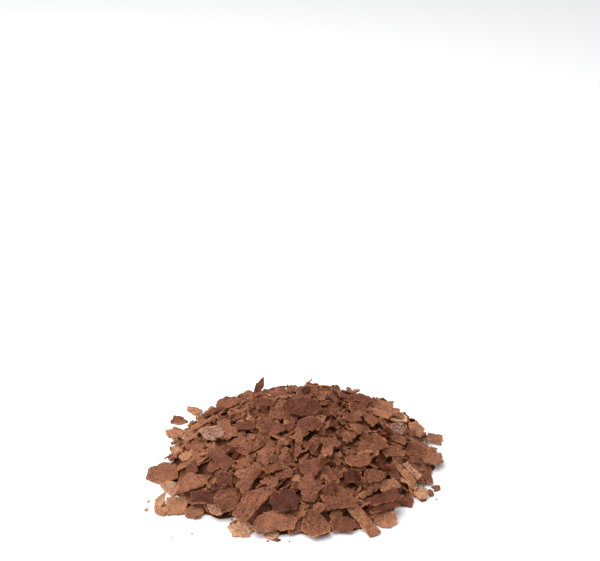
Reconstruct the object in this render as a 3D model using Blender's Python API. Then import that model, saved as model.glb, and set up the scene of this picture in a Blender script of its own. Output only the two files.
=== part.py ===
"""A loose heap of broken lace crepe, lying on a table, as one solid.

Metres, +Z up. The origin is on the table under the middle of the heap, and -Y is the side that the
photograph shows. Flakes are laid one after another, each where the heap is still lowest, and most come
to rest on three points of what lies under them. The larger flakes of the photograph come last, each at
its own spot. The flakes that show are then fused to a core.
"""

import math
from collections import namedtuple

import bmesh
import bpy
import numpy as np
from mathutils import Matrix, Vector

MM = 0.001
FULL_TURN = 2 * math.pi

# The heap. Its foot is given by the distance from the middle to the edge, every 30 degrees from +X. Its
# height falls from the middle as the share of that distance to the power of the slope's shape. Random
# flakes are centred within the foot spread, and cover a bare mound that is lower by the cover. No flake
# comes nearer to the table than its own multiple of the gap, so that no two lie in one plane.
HEAP_HEIGHT = 14.6 * MM
FOOT_RADII = np.array([42, 42, 40, 38, 39, 40, 41, 44, 40, 40, 41, 41]) * MM
SLOPE_SHAPE = 1.7
FOOT_SPREAD = 0.96
COVER = 5.5 * MM
TABLE_GAP, GAP_SPREAD = 0.05 * MM, (1, 3)

# The flakes. Lengths follow a log-normal spread, as broken wafer does, and widths are shares of them. A
# corner lies at a share of the size, and is turned off its even place by a share of the step between.
FLAKE_LENGTH, LENGTH_SPREAD = 4.9 * MM, 0.42
SHORTEST, LONGEST = 2.0 * MM, 12.0 * MM
WIDTH_SHARES = (0.42, 0.92)
FLAKE_THICKNESS, THICKNESS_SPREAD = 0.55 * MM, (0.8, 1.15)
CORNER_COUNTS = (4, 5, 6)
CORNER_SHARES, CORNER_TURN = (0.44, 0.63), 0.3
FORM_SPREAD = (0.92, 1.08)

# The radii of the flakes' curls and how often each comes, how much a radius varies, and how far the
# curl's axis may lie off the length.
NEARLY_FLAT = 30 * MM
CURL_RADII, CURL_SHARES = (NEARLY_FLAT, 14 * MM, 5 * MM), (0.55, 0.3, 0.15)
CURL_SPREAD, CURL_SKEW = (0.9, 1.2), math.radians(23)

# How the flakes lie: slightly leaning or steep, except near the edge, where they lie calm. A flake that
# leans sinks in, and none stands out of the heap's surface by more than its overtop.
LEANING, LEAN_SPREAD = 0.5, math.radians(9)
STEEP, STEEP_RANGE = 0.11, (math.radians(25), math.radians(65))
STEEPEST_REST = math.radians(50)
CALM_RIM, CALM_SHARE = 0.86, 0.25
SINK_OF_LEAN = 0.9 * MM
LEAST_OVERTOP, MEAN_OVERTOP = 1.2 * MM, 0.7 * MM

# The laying: each flake goes to the lowest of so many random spots, until so many looks find none that
# lacks enough. A key flake sinks in until this share of its underside is clear of the heap.
CANDIDATES = 7
LACK = 0.6 * MM
FULL_LOOKS = 25
KEY_CLEAR = 0.97

# How finely the heap's height and a flake's faces are sampled, and when a plane counts as touching.
CELL = 0.5 * MM
REACH = 60 * MM
SAMPLE = 0.42 * MM
TOUCHING = 0.0001 * MM
MOST_EXCHANGES = 60
TINY = 1e-9

SEED = 20


def arc(first, last, count):
    """Points of the unit circle in equal steps, from one angle to another, in degrees."""
    angles = np.radians(np.linspace(first, last, count))
    return [*zip(np.cos(angles), np.sin(angles))]


# The outlines of the photograph's flakes: corners in shares of half the length and half the width. A
# shard is none of these and has random corners.
FORMS = {
    "slab": [(0.95, 0.85), (-0.9, 1), (-1, -0.8), (0.9, -1)],
    "wedge": [(1, 0.15), (-0.1, 1), (-0.95, 0.1), (-0.9, -1)],
    "leaf": [(1, 0.1), (0.2, 1), (-1, 0.2), (-0.5, -0.9), (0.5, -0.8)],
    "keel": [(1, 0.7), (-0.9, 1), (-0.8, -0.1), (-0.1, -1), (0.7, -0.4)],
    "bow": [(0.9, 0.9), (-0.85, 0.8), *arc(190, 350, 5)],
    "round": arc(0, 315, 8),
    "ragged": [(x * reach, y * reach) for (x, y), reach in zip(arc(0, 324, 10), 5 * (1, 0.76))],
}

# The flakes that stand out in the photograph, the lower ones first. Millimetres and degrees: where the
# middle is, how long and wide, which way the length points, how far its far end is raised and how far the
# flake is rolled up on the left of it, the radius of its curl (0 for nearly flat, less than 0 for edges
# down), and the form of its outline.
KeyFlake = namedtuple("KeyFlake", "x y length width heading raised rolled curl form")
KEY_FLAKES = (
    (-40.5, -25.5, 7.5, 4.0, 60, 20, 5, 0, "wedge"),
    (-40.0, -29.5, 4.0, 3.0, 15, 0, 5, 0, "shard"),
    (-35.5, -27.5, 6.5, 7.0, 10, 5, 15, 9, "slab"),
    (-30.5, -30.5, 5.5, 5.0, 15, 5, 15, 4, "shard"),
    (-24.0, -30.5, 7.5, 6.0, 350, 0, 10, 0, "shard"),
    (-28.0, -28.0, 7.0, 5.0, 5, 5, 25, 3.6, "slab"),
    (-16.5, -38.0, 8.5, 7.0, 15, 0, 10, 0, "ragged"),
    (-8.0, -40.0, 4.5, 4.5, 10, 0, 10, 0, "round"),
    (12.5, -37.5, 7.5, 5.5, 175, 5, -25, 0, "bow"),
    (24.5, -34.0, 7.0, 6.0, 25, 5, 20, 0, "round"),
    (4.0, -39.0, 8.5, 9.0, 5, 0, 20, 6, "shard"),
    (-7.0, -38.0, 12.5, 7.0, 185, 0, -25, 0, "bow"),
    (18.0, -36.0, 12.5, 4.0, 310, -20, 10, 0, "slab"),
    (35.5, -22.0, 5.0, 4.0, 305, -10, 5, 0, "shard"),
    (-40.5, -11.5, 10.5, 8.5, 0, 10, 10, 0, "shard"),
    (-38.0, -18.5, 6.0, 4.5, 315, -5, 15, 0, "slab"),
    (-38.0, 0.0, 4.0, 4.5, 15, 5, 5, 0, "shard"),
    (40.5, -6.0, 6.5, 5.5, 30, -5, 10, 0, "shard"),
    (42.5, 7.5, 5.0, 5.0, 355, -10, 5, 3, "slab"),
    (34.5, -9.5, 5.0, 4.0, 35, 5, 20, 0, "shard"),
    (-21.0, -29.5, 7.5, 8.5, 10, 5, 20, 0, "round"),
    (-4.5, -33.0, 9.0, 8.0, 5, 5, 20, 0, "round"),
    (11.0, -32.0, 9.0, 5.5, 15, 5, 20, 0, "slab"),
    (30.5, -25.0, 5.5, 3.5, 355, -5, 10, 6, "slab"),
    (24.0, -31.0, 9.5, 4.0, 25, 0, 5, 9, "slab"),
    (24.0, -28.5, 10.5, 4.5, 25, 5, 10, 5, "slab"),
    (26.0, -22.5, 6.5, 4.0, 25, 0, 20, 0, "slab"),
    (32.0, -19.5, 6.0, 2.5, 340, -15, 10, 0, "slab"),
    (33.5, -15.0, 7.5, 2.5, 310, -20, 0, 0, "slab"),
    (31.0, -17.5, 10.0, 2.5, 315, -25, 5, 0, "slab"),
    (21.5, -22.0, 6.0, 6.0, 335, -15, 20, 0, "shard"),
    (15.0, -24.0, 5.0, 5.5, 275, -5, 0, -3.1, "slab"),
    (27.5, -18.0, 6.0, 3.0, 300, -30, 5, 0, "slab"),
    (24.5, -17.0, 5.0, 1.5, 325, -25, 15, 4, "slab"),
    (9.0, -29.0, 4.5, 5.0, 350, -5, 25, 0, "shard"),
    (2.5, -28.5, 9.5, 6.5, 290, -30, 10, 0, "ragged"),
    (8.5, -23.5, 6.0, 2.5, 300, -15, 25, 7, "slab"),
    (3.0, -22.5, 6.0, 6.5, 5, 5, 30, 0, "bow"),
    (-12.0, -33.0, 18.0, 8.0, 40, 5, 20, 0, "wedge"),
    (-32.0, -21.0, 10.5, 8.0, 200, -15, 0, 14, "keel"),
    (-21.5, -24.5, 8.0, 5.0, 345, 0, 20, 0, "shard"),
    (-9.0, -24.5, 6.0, 3.5, 10, 5, 15, 0, "leaf"),
    (-14.5, -25.5, 13.0, 4.0, 65, 5, 10, -3.0, "slab"),
    (-4.5, -24.0, 5.0, 2.5, 20, 5, 15, 0, "slab"),
    (-8.0, -22.0, 6.5, 3.0, 25, 5, 10, 0, "slab"),
    (-32.0, -15.5, 4.0, 3.5, 295, -30, 35, 7, "slab"),
    (-34.5, -10.0, 4.0, 3.5, 15, 10, 5, 0, "shard"),
    (-23.5, -15.0, 9.0, 4.5, 320, -15, 30, 8, "slab"),
    (17.0, -18.0, 8.0, 4.5, 10, 0, 20, 0, "bow"),
    (28.0, -10.5, 7.0, 4.5, 25, -5, 20, 0, "slab"),
    (35.5, -3.0, 6.5, 6.0, 0, -10, 10, 0, "round"),
    (23.0, -10.5, 6.0, 4.5, 40, 10, 15, 0, "slab"),
    (30.5, -1.5, 4.5, 3.5, 350, -15, 15, 0, "slab"),
    (36.5, 6.5, 6.5, 5.0, 305, -40, 20, 0, "ragged"),
    (30.0, 3.0, 7.0, 5.5, 0, -5, 20, 0, "shard"),
    (22.0, 1.5, 4.0, 4.0, 330, -15, 10, 0, "slab"),
    (31.0, 10.5, 5.5, 2.5, 0, -5, 5, 0, "slab"),
    (30.0, 11.5, 5.5, 3.0, 345, 0, 0, 0, "slab"),
    (25.0, 9.5, 8.0, 3.5, 340, -5, 5, -3.0, "slab"),
    (27.5, 13.5, 8.5, 3.0, 345, 0, 0, 0, "slab"),
    (18.0, 15.5, 11.5, 5.5, 345, 0, 5, 0, "leaf"),
    (27.5, 24.0, 6.5, 4.0, 355, 0, 0, 0, "slab"),
    (16.0, 0.5, 6.5, 4.0, 345, -5, 15, 0, "leaf"),
    (-15.5, -13.5, 8.5, 5.0, 5, 5, 20, 0, "shard"),
    (9.5, -13.0, 5.5, 4.5, 345, -5, 20, 0, "round"),
    (-34.5, 25.0, 7.0, 3.5, 315, 5, 5, 0, "shard"),
    (-31.5, 6.0, 5.5, 2.5, 35, 15, 0, 0, "slab"),
    (-28.0, 16.0, 7.5, 2.5, 30, 15, 5, 0, "slab"),
    (-26.5, -3.0, 8.5, 6.5, 5, 10, 15, 0, "shard"),
    (-23.0, 14.5, 8.0, 5.0, 20, 5, 5, 0, "round"),
    (-17.5, 24.0, 4.0, 2.5, 45, 15, 10, 0, "shard"),
    (-16.5, -4.5, 6.0, 3.5, 10, 5, 15, 0, "slab"),
    (-11.5, 7.0, 7.0, 3.5, 5, 0, 10, 0, "slab"),
    (-8.0, 34.0, 9.5, 3.0, 20, 0, 5, 0, "wedge"),
    (10.0, 20.0, 6.0, 4.0, 345, -5, 15, 0, "wedge"),
    (3.5, 19.5, 7.0, 4.0, 350, -5, 30, 6, "round"),
    (-6.5, -1.0, 5.5, 5.5, 345, -5, 25, 0, "shard"),
    (3.0, -7.0, 8.5, 6.0, 350, -5, 20, 0, "shard"),
    (-8.5, -7.5, 10.0, 4.5, 350, 0, 15, 0, "leaf"),
    (0.5, 1.5, 12.5, 8.0, 355, 0, 15, 0, "round"),
    (-13.5, 25.5, 9.0, 3.0, 5, 65, 45, 0, "leaf"),
)

# The solid: how many flakes are fused on, how far each reaches into what it lies on, and how far the
# core stays under the flakes and behind the heap's edge, which is looked for between two shares of the
# foot. A flake is modelled curved where the radius of its curl is less than so many lengths.
FUSED_FLAKES = 195
ROOT = 0.3 * MM
CORE_SINK = 0.7 * MM
CORE_BLUR = 1.5 * MM
CORE_RIM_HEIGHT, CORE_RIM_BACK = 0.35 * MM, 2.2 * MM
CORE_RIM_LOOKS = np.linspace(0.75, 1.3, 111)
CORE_RINGS, CORE_SECTORS = 9, 40
CURVED_BELOW = 3.2
MERGE = 0.001 * MM
FLAT_ANGLE = math.radians(1)


def foot_radius(angle):
    """Distance from the middle to the heap's edge, straight between the twelve measured ones."""
    step = FULL_TURN / len(FOOT_RADII)
    return np.interp(angle, np.arange(len(FOOT_RADII)) * step, FOOT_RADII, period=FULL_TURN)


def foot_share(x, y):
    """How far out a spot is: 0 in the middle of the foot and 1 at its edge."""
    return np.hypot(x, y) / foot_radius(np.arctan2(y, x))


def heap_surface(x, y):
    """The heap's height: full in the middle, and falling ever more steeply to nothing at the edge."""
    return HEAP_HEIGHT * np.maximum(0, 1 - foot_share(x, y) ** SLOPE_SHAPE)


class HeightMap:
    """The height of the top of the heap over a square grid, and which flake is on top there."""

    def __init__(self):
        side = np.arange(-REACH, REACH + CELL, CELL)
        x, y = np.meshgrid(side, side, indexing="ij")
        self.height = np.maximum(TABLE_GAP, heap_surface(x, y) - COVER)
        self.owner = np.full(self.height.shape, -1)

    def cells(self, points):
        index = np.rint((points[:, :2] + REACH) / CELL).astype(int)
        return tuple(np.clip(index, 0, len(self.height) - 1).T)

    def at(self, points):
        return self.height[self.cells(points)]

    def add(self, points, owner):
        """Raises the map to these points, the highest of those in one cell counting."""
        order = np.argsort(points[:, 2])
        cells = tuple(c[order] for c in self.cells(points))
        z = points[order, 2]
        over = z > self.height[cells]
        cells = tuple(c[over] for c in cells)
        self.height[cells] = z[over]
        self.owner[cells] = owner

    def blurred(self, reach):
        """The height averaged over a square of that half side."""
        count = int(round(reach / CELL))
        window = np.ones(2 * count + 1) / (2 * count + 1)
        rows = np.apply_along_axis(np.convolve, 0, self.height, window, "same")
        return np.apply_along_axis(np.convolve, 1, rows, window, "same")


class Flake:
    """A shard of wafer: a polygon of unequal corners, bent over a cylinder and laid in the heap."""

    def __init__(self, rng, length=None, width=None, curl=None, form="shard"):
        if length is None:
            length = float(np.clip(FLAKE_LENGTH * rng.lognormal(0, LENGTH_SPREAD), SHORTEST, LONGEST))
            width = length * rng.uniform(*WIDTH_SHARES)
            curl = rng.choice(CURL_RADII, p=CURL_SHARES) * rng.choice((-1, 1))
        self.length = length
        self.set_corners(rng, length, width, form)
        self.thickness = FLAKE_THICKNESS * rng.uniform(*THICKNESS_SPREAD)
        self.bend_radius = (curl or NEARLY_FLAT) * rng.uniform(*CURL_SPREAD)
        self.bend_axis = rng.uniform(-CURL_SKEW, CURL_SKEW)
        self.lowest = TABLE_GAP * rng.uniform(*GAP_SPREAD)
        self.turn = np.eye(3)
        self.place = np.zeros(3)

    def set_corners(self, rng, length, width, form):
        """The corners as angles in rising order and distances from the middle."""
        if form == "shard":
            count = int(rng.choice(CORNER_COUNTS))
            uneven = np.arange(count) + rng.uniform(-CORNER_TURN, CORNER_TURN, count)
            angles = rng.uniform(0, FULL_TURN) + FULL_TURN * uneven / count
            ellipse = 1 / np.hypot(np.cos(angles) / length, np.sin(angles) / width)
            radii = ellipse * rng.uniform(*CORNER_SHARES, count)
        else:
            u, v = (np.array(FORMS[form]) * (length / 2, width / 2)).T
            angles, radii = np.arctan2(v, u), np.hypot(u, v) * rng.uniform(*FORM_SPREAD, len(u))
        order = np.argsort(angles % FULL_TURN)
        self.angles, self.radii = angles[order] % FULL_TURN, radii[order]

    def edge(self, angle):
        """Distance from the middle to the straight edges between the corners, by the sine rule."""
        angle = np.asarray(angle) % FULL_TURN
        after = np.searchsorted(self.angles, angle) % len(self.angles)
        before = after - 1
        between = (self.angles[after] - self.angles[before]) % FULL_TURN
        from_first = (angle - self.angles[before]) % FULL_TURN
        near, far = self.radii[before], self.radii[after]
        across = near * np.sin(from_first) + far * np.sin(between - from_first)
        return near * far * np.sin(between) / np.maximum(across, TINY)

    def bent(self, u, v, above):
        """Points of the flat flake wound on a cylinder along its length, at a height above the middle."""
        cos, sin = math.cos(self.bend_axis), math.sin(self.bend_axis)
        along, across = u * cos + v * sin, v * cos - u * sin
        angle = across / self.bend_radius
        radius = self.bend_radius - above
        across = radius * np.sin(angle)
        z = self.bend_radius - radius * np.cos(angle)
        return np.stack([along * cos - across * sin, along * sin + across * cos, z], axis=-1)

    def face(self, side):
        """Samples of the upper face (side 1) or the lower one (side -1), before the flake is laid."""
        half = self.radii.max()
        steps = np.arange(-half, half + SAMPLE, SAMPLE)
        u, v = (a.ravel() for a in np.meshgrid(steps, steps))
        inside = np.hypot(u, v) <= self.edge(np.arctan2(v, u))
        return self.bent(u[inside], v[inside], side * self.thickness / 2)

    def laid(self, points):
        return points @ self.turn.T + self.place


def rest_plane(points):
    """The plane over the points that is lowest at the origin, as (height, slope along x, slope along y).

    Three of the points carry it, and the origin lies between them, so a flake rests on it. It starts from
    three points far out and far down. The point furthest over the plane then takes the place of the one
    that keeps the origin between the three, until no point is over it.
    """
    far = 1.0
    start = [(far * math.cos(a), far * math.sin(a), -far) for a in (0.3, 2.4, 4.5)]
    points = np.vstack([points, start])
    flat = np.column_stack([np.ones(len(points)), points[:, :2]])
    carriers = list(range(len(points) - 3, len(points)))
    for _ in range(MOST_EXCHANGES):
        plane = np.linalg.solve(flat[carriers], points[carriers, 2])
        over = points[:, 2] - flat @ plane
        highest = int(over.argmax())
        if over[highest] < TOUCHING:
            break
        weights = np.linalg.solve(flat[carriers].T, np.column_stack([(1, 0, 0), flat[highest]]))
        share = np.where(weights[:, 1] > TINY, weights[:, 0] / np.maximum(weights[:, 1], TINY), np.inf)
        carriers[int(share.argmin())] = highest
    return plane


def turned(axis, angle):
    """A turn by the angle about the axis, as a matrix."""
    return np.array(Matrix.Rotation(angle, 3, Vector(axis)))


def resting_turn(flake, heap, spot, heading):
    """The turn in which the flake rests on three points at the spot, or None where that is too steep."""
    level = turned((0, 0, 1), heading)
    under = flake.face(-1) @ level.T
    clear = heap.at(under + (*spot, 0)) - under[:, 2]
    plane = rest_plane(np.column_stack([under[:, :2], clear]))
    slope = math.atan(math.hypot(plane[1], plane[2]))
    if slope > STEEPEST_REST:
        return None
    return turned((plane[2], -plane[1], TINY), slope) @ level


def set_down(flake, heap, spot, turn, number, clear=1, sink=0, overtop=math.inf):
    """Lowers the turned flake on the heap until that share of its underside is clear, less the sink.

    It says whether the flake lies. One that would stand out by more than overtop is refused.
    """
    flake.turn, flake.place = turn, np.array([*spot, 0.0])
    under = flake.laid(flake.face(-1))
    lift = np.quantile(heap.at(under) - under[:, 2], clear) - sink
    flake.place[2] = max(lift, TABLE_GAP - under[:, 2].min())
    over = flake.laid(flake.face(1))
    if (over[:, 2] - heap_surface(over[:, 0], over[:, 1])).max() > overtop:
        return False
    heap.add(over, number)
    return True


def random_lean(rng, share):
    """No lean, a slight one, or now and then a steep one. Near the edge of the heap it is less."""
    kind, slight, steep = rng.uniform(0, 1), rng.normal(0, LEAN_SPREAD), rng.uniform(*STEEP_RANGE)
    lean = steep if kind < STEEP else (slight if kind < LEANING else 0)
    return lean * CALM_SHARE if share > CALM_RIM else lean


def lay_random(flake, heap, spot, number, rng, overtop=math.inf):
    """Lays the flake at the spot on its three points, leaning about any level axis, if it can lie so."""
    turn = resting_turn(flake, heap, spot, rng.uniform(0, FULL_TURN))
    lean, about = random_lean(rng, foot_share(*spot)), rng.uniform(0, FULL_TURN)
    if turn is None:
        return False
    turn = turn @ turned((math.cos(about), math.sin(about), 0), lean)
    sink = SINK_OF_LEAN * abs(math.sin(lean))
    return set_down(flake, heap, spot, turn, number, sink=sink, overtop=overtop)


def lay_key(key, heap, number, rng):
    """Lays one of the photograph's flakes, turned as it shows there."""
    flake = Flake(rng, key.length * MM, key.width * MM, key.curl * MM, key.form)
    heading, raised, rolled = (math.radians(a) for a in (key.heading, key.raised, key.rolled))
    turn = turned((0, 0, 1), heading) @ turned((0, 1, 0), -raised) @ turned((1, 0, 0), rolled)
    set_down(flake, heap, (key.x * MM, key.y * MM), turn, number, clear=KEY_CLEAR)
    return flake


def heap_of_flakes():
    """Lays every flake, the next one always where the heap lacks most, and then those of the photograph."""
    rng = np.random.default_rng(SEED)
    heap = HeightMap()
    flakes, full = [], 0
    while full < FULL_LOOKS:
        angle = rng.uniform(0, FULL_TURN, CANDIDATES)
        distance = FOOT_SPREAD * np.sqrt(rng.uniform(0, 1, CANDIDATES)) * foot_radius(angle)
        spots = np.column_stack([distance * np.cos(angle), distance * np.sin(angle)])
        lacking = heap_surface(spots[:, 0], spots[:, 1]) - heap.at(spots)
        if lacking.max() < LACK:
            full += 1
            continue
        flake = Flake(rng)
        overtop = LEAST_OVERTOP + rng.exponential(MEAN_OVERTOP)
        if lay_random(flake, heap, spots[lacking.argmax()], len(flakes), rng, overtop):
            flakes.append(flake)
    for row in KEY_FLAKES:
        flakes.append(lay_key(KeyFlake(*row), heap, len(flakes), rng))
    return flakes, heap


def object_of(build, name):
    """An object made of the finished mesh, with flat triangles that point out."""
    bmesh.ops.triangulate(build, faces=build.faces)
    bmesh.ops.recalc_face_normals(build, faces=build.faces)
    mesh = bpy.data.meshes.new(name)
    build.to_mesh(mesh)
    build.free()
    return bpy.data.objects.new(name, mesh)


def flake_solid(flake, name):
    """The flake with few sides: its flat outline made thick, and then bent and laid.

    A curved one has more points and a middle one. The lower face goes deeper than the flake's own, so
    that the flake fuses with what it rests on.
    """
    angles = flake.angles
    curved = abs(flake.bend_radius) < CURVED_BELOW * flake.length
    if curved:
        middles = angles + (np.roll(angles, -1) - angles) % FULL_TURN / 2
        angles = np.sort(np.concatenate([angles, middles]) % FULL_TURN)
    build = bmesh.new()
    for angle, radius in zip(angles, flake.edge(angles)):
        build.verts.new((radius * math.cos(angle), radius * math.sin(angle), flake.thickness / 2))
    build.faces.new(build.verts)
    if curved:
        bmesh.ops.poke(build, faces=build.faces)
    copy = bmesh.ops.extrude_face_region(build, geom=build.faces[:], use_keep_orig=True)["geom"]
    below = [item for item in copy if isinstance(item, bmesh.types.BMVert)]
    bmesh.ops.translate(build, verts=below, vec=(0, 0, -flake.thickness - ROOT))
    for vertex in build.verts:
        x, y, z = flake.laid(flake.bent(*np.array(vertex.co)))
        vertex.co = (x, y, max(z, flake.lowest))
    return object_of(build, name)


def core_reach(height, angle):
    """How far the heap runs on without a gap in one direction, on a blurred copy of its height."""
    distance = CORE_RIM_LOOKS * foot_radius(angle)
    spots = np.column_stack([distance * math.cos(angle), distance * math.sin(angle)])
    bare = height.at(spots) < CORE_RIM_HEIGHT
    return distance[bare.argmax()] - CORE_RIM_BACK


def core_solid(heap):
    """A mound just under the flakes: a spoke spun round to a disc, raised to the blurred heap's height.

    Its edge goes straight down to a flat foot on the table.
    """
    blurred = HeightMap()
    blurred.height = heap.blurred(CORE_BLUR)
    build = bmesh.new()
    spoke = [build.verts.new((ring / CORE_RINGS, 0, 0)) for ring in range(CORE_RINGS + 1)]
    spoke += [build.edges.new(ends) for ends in zip(spoke, spoke[1:])]
    bmesh.ops.spin(build, geom=spoke, cent=(0, 0, 0), axis=(0, 0, 1), angle=FULL_TURN, steps=CORE_SECTORS)
    bmesh.ops.remove_doubles(build, verts=build.verts, dist=MERGE)
    rim = [edge for edge in build.edges if edge.is_boundary]
    for vertex in build.verts:
        vertex.co *= core_reach(blurred, math.atan2(vertex.co.y, vertex.co.x))
        height = float(blurred.at(np.array([vertex.co]))[0])
        vertex.co.z = max(height - CORE_SINK, CORE_RIM_HEIGHT)
    wall = bmesh.ops.extrude_edge_only(build, edges=rim)["geom"]
    for vertex in [item for item in wall if isinstance(item, bmesh.types.BMVert)]:
        vertex.co.z = 0
    foot = [edge for edge in build.edges if edge.is_boundary]
    bmesh.ops.contextual_create(build, geom=foot)
    return object_of(build, "lace_crepe_heap")


def showing(flakes, heap):
    """The flakes that show from above, the one with the most area in sight first."""
    seen = np.bincount(heap.owner[heap.owner >= 0], minlength=len(flakes))
    return [flakes[i] for i in np.argsort(-seen, kind="stable") if seen[i]]


def one_clean_shell(obj):
    """Joins faces that lie in one plane, and takes out the scraps and hollows that the union leaves."""
    build = bmesh.new()
    build.from_mesh(obj.data)
    bmesh.ops.dissolve_limit(build, angle_limit=FLAT_ANGLE, verts=build.verts, edges=build.edges)
    bmesh.ops.triangulate(build, faces=build.faces, ngon_method="EAR_CLIP")
    left = set(build.verts)
    shells = []
    while left:
        shell, front = set(), [left.pop()]
        while front:
            vertex = front.pop()
            shell.add(vertex)
            near = {edge.other_vert(vertex) for edge in vertex.link_edges} & left
            left -= near
            front.extend(near)
        shells.append(shell)
    biggest = max(shells, key=len)
    bmesh.ops.delete(build, geom=[v for v in build.verts if v not in biggest], context="VERTS")
    build.to_mesh(obj.data)
    build.free()


def wafer_material():
    material = bpy.data.materials.new("crisp brown wafer")
    material.use_nodes = True
    surface = material.node_tree.nodes["Principled BSDF"]
    surface.inputs["Base Color"].default_value = (0.22, 0.085, 0.045, 1)
    surface.inputs["Roughness"].default_value = 0.6
    surface.inputs["Metallic"].default_value = 0.0
    return material


def main():
    for old in list(bpy.data.objects):
        bpy.data.objects.remove(old)
    part = bpy.data.collections.new("lace crepe heap")
    fused = bpy.data.collections.new("flakes to fuse")
    bpy.context.scene.collection.children.link(part)
    bpy.context.scene.collection.children.link(fused)

    flakes, heap = heap_of_flakes()
    core = core_solid(heap)
    part.objects.link(core)
    core.data.materials.append(wafer_material())
    for number, flake in enumerate(showing(flakes, heap)[:FUSED_FLAKES]):
        fused.objects.link(flake_solid(flake, f"flake {number}"))

    union = core.modifiers.new("flakes fused on", "BOOLEAN")
    union.operand_type = "COLLECTION"
    union.collection = fused
    union.operation = "UNION"
    union.solver = "MANIFOLD"
    bpy.context.view_layer.update()
    graph = bpy.context.evaluated_depsgraph_get()
    core.data = bpy.data.meshes.new_from_object(core.evaluated_get(graph))
    core.modifiers.clear()
    for flake in list(fused.objects):
        bpy.data.objects.remove(flake)
    bpy.data.collections.remove(fused)
    one_clean_shell(core)


main()
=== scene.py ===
"""The look of a loose heap of broken lace crepe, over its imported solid.

The heap is laid as the solid's was, by the same rules, values and random draws, so every flake that is
fused to the solid lies in the same place here. Each flake is then a ragged, uneven shard of its own.
Small shards and crumbs fill the hollows between them, a few lie loose on the table, and a mound of
crumbs closes the middle. Metres, +Z up, origin on the table under the middle of the heap, -Y towards
the viewer.
"""

import math
from collections import namedtuple

import bpy
import numpy as np
from mathutils import Matrix, Vector


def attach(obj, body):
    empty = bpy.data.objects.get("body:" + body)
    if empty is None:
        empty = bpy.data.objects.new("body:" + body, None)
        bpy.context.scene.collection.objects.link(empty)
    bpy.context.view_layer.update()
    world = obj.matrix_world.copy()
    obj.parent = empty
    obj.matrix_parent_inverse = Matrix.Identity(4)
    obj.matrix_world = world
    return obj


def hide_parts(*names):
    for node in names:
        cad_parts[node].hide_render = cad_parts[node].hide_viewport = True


MM = 0.001
FULL_TURN = 2 * math.pi

# The heap. Its foot is given by the distance from the middle to the edge, every 30 degrees from +X. Its
# height falls from the middle as the share of that distance to the power of the slope's shape. Random
# flakes are centred within the foot spread, and cover a bare mound that is lower by the cover. No flake
# comes nearer to the table than the gap. The solid draws a multiple of it for each flake.
HEAP_HEIGHT = 14.6 * MM
FOOT_RADII = np.array([42, 42, 40, 38, 39, 40, 41, 44, 40, 40, 41, 41]) * MM
SLOPE_SHAPE = 1.7
FOOT_SPREAD = 0.96
COVER = 5.5 * MM
TABLE_GAP, GAP_SPREAD = 0.05 * MM, (1, 3)

# The flakes. Lengths follow a log-normal spread, as broken wafer does, and widths are shares of them. A
# corner lies at a share of the size, and is turned off its even place by a share of the step between.
FLAKE_LENGTH, LENGTH_SPREAD = 4.9 * MM, 0.42
SHORTEST, LONGEST = 2.0 * MM, 12.0 * MM
WIDTH_SHARES = (0.42, 0.92)
FLAKE_THICKNESS, THICKNESS_SPREAD = 0.55 * MM, (0.8, 1.15)
CORNER_COUNTS = (4, 5, 6)
CORNER_SHARES, CORNER_TURN = (0.44, 0.63), 0.3
FORM_SPREAD = (0.92, 1.08)

# The radii of the flakes' curls and how often each comes, how much a radius varies, and how far the
# curl's axis may lie off the length.
NEARLY_FLAT = 30 * MM
CURL_RADII, CURL_SHARES = (NEARLY_FLAT, 14 * MM, 5 * MM), (0.55, 0.3, 0.15)
CURL_SPREAD, CURL_SKEW = (0.9, 1.2), math.radians(23)

# How the flakes lie: slightly leaning or steep, except near the edge, where they lie calm. A flake that
# leans sinks in, and none stands out of the heap's surface by more than its overtop.
LEANING, LEAN_SPREAD = 0.5, math.radians(9)
STEEP, STEEP_RANGE = 0.11, (math.radians(25), math.radians(65))
STEEPEST_REST = math.radians(50)
CALM_RIM, CALM_SHARE = 0.86, 0.25
SINK_OF_LEAN = 0.9 * MM
LEAST_OVERTOP, MEAN_OVERTOP = 1.2 * MM, 0.7 * MM

# The laying: each flake goes to the lowest of so many random spots, until so many looks find none that
# lacks enough. A key flake sinks in until this share of its underside is clear of the heap.
CANDIDATES = 7
LACK = 0.6 * MM
FULL_LOOKS = 25
KEY_CLEAR = 0.97

# How finely the heap's height is sampled and how far out, how finely a flake's faces are, and at what
# share of its size a filling shard's are.
CELL, REACH = 0.5 * MM, 60 * MM
SAMPLE, SHARD_SAMPLE = 0.42 * MM, 0.5

# The search for the plane that a flake rests on: how far out and down its first three points lie and in
# which directions, when a plane counts as touching, and how many exchanges it may take.
FAR, FIRST_ANGLES = 1.0, (0.3, 2.4, 4.5)
TOUCHING = 0.0001 * MM
MOST_EXCHANGES = 60
TINY = 1e-9

SEED = 20


def arc(first, last, count):
    """Points of the unit circle in equal steps, from one angle to another, in degrees."""
    angles = np.radians(np.linspace(first, last, count))
    return [*zip(np.cos(angles), np.sin(angles))]


# The outlines of the photograph's flakes: corners in shares of half the length and half the width. A
# shard is none of these and has random corners.
FORMS = {
    "slab": [(0.95, 0.85), (-0.9, 1), (-1, -0.8), (0.9, -1)],
    "wedge": [(1, 0.15), (-0.1, 1), (-0.95, 0.1), (-0.9, -1)],
    "leaf": [(1, 0.1), (0.2, 1), (-1, 0.2), (-0.5, -0.9), (0.5, -0.8)],
    "keel": [(1, 0.7), (-0.9, 1), (-0.8, -0.1), (-0.1, -1), (0.7, -0.4)],
    "bow": [(0.9, 0.9), (-0.85, 0.8), *arc(190, 350, 5)],
    "round": arc(0, 315, 8),
    "ragged": [(x * reach, y * reach) for (x, y), reach in zip(arc(0, 324, 10), 5 * (1, 0.76))],
}

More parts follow.
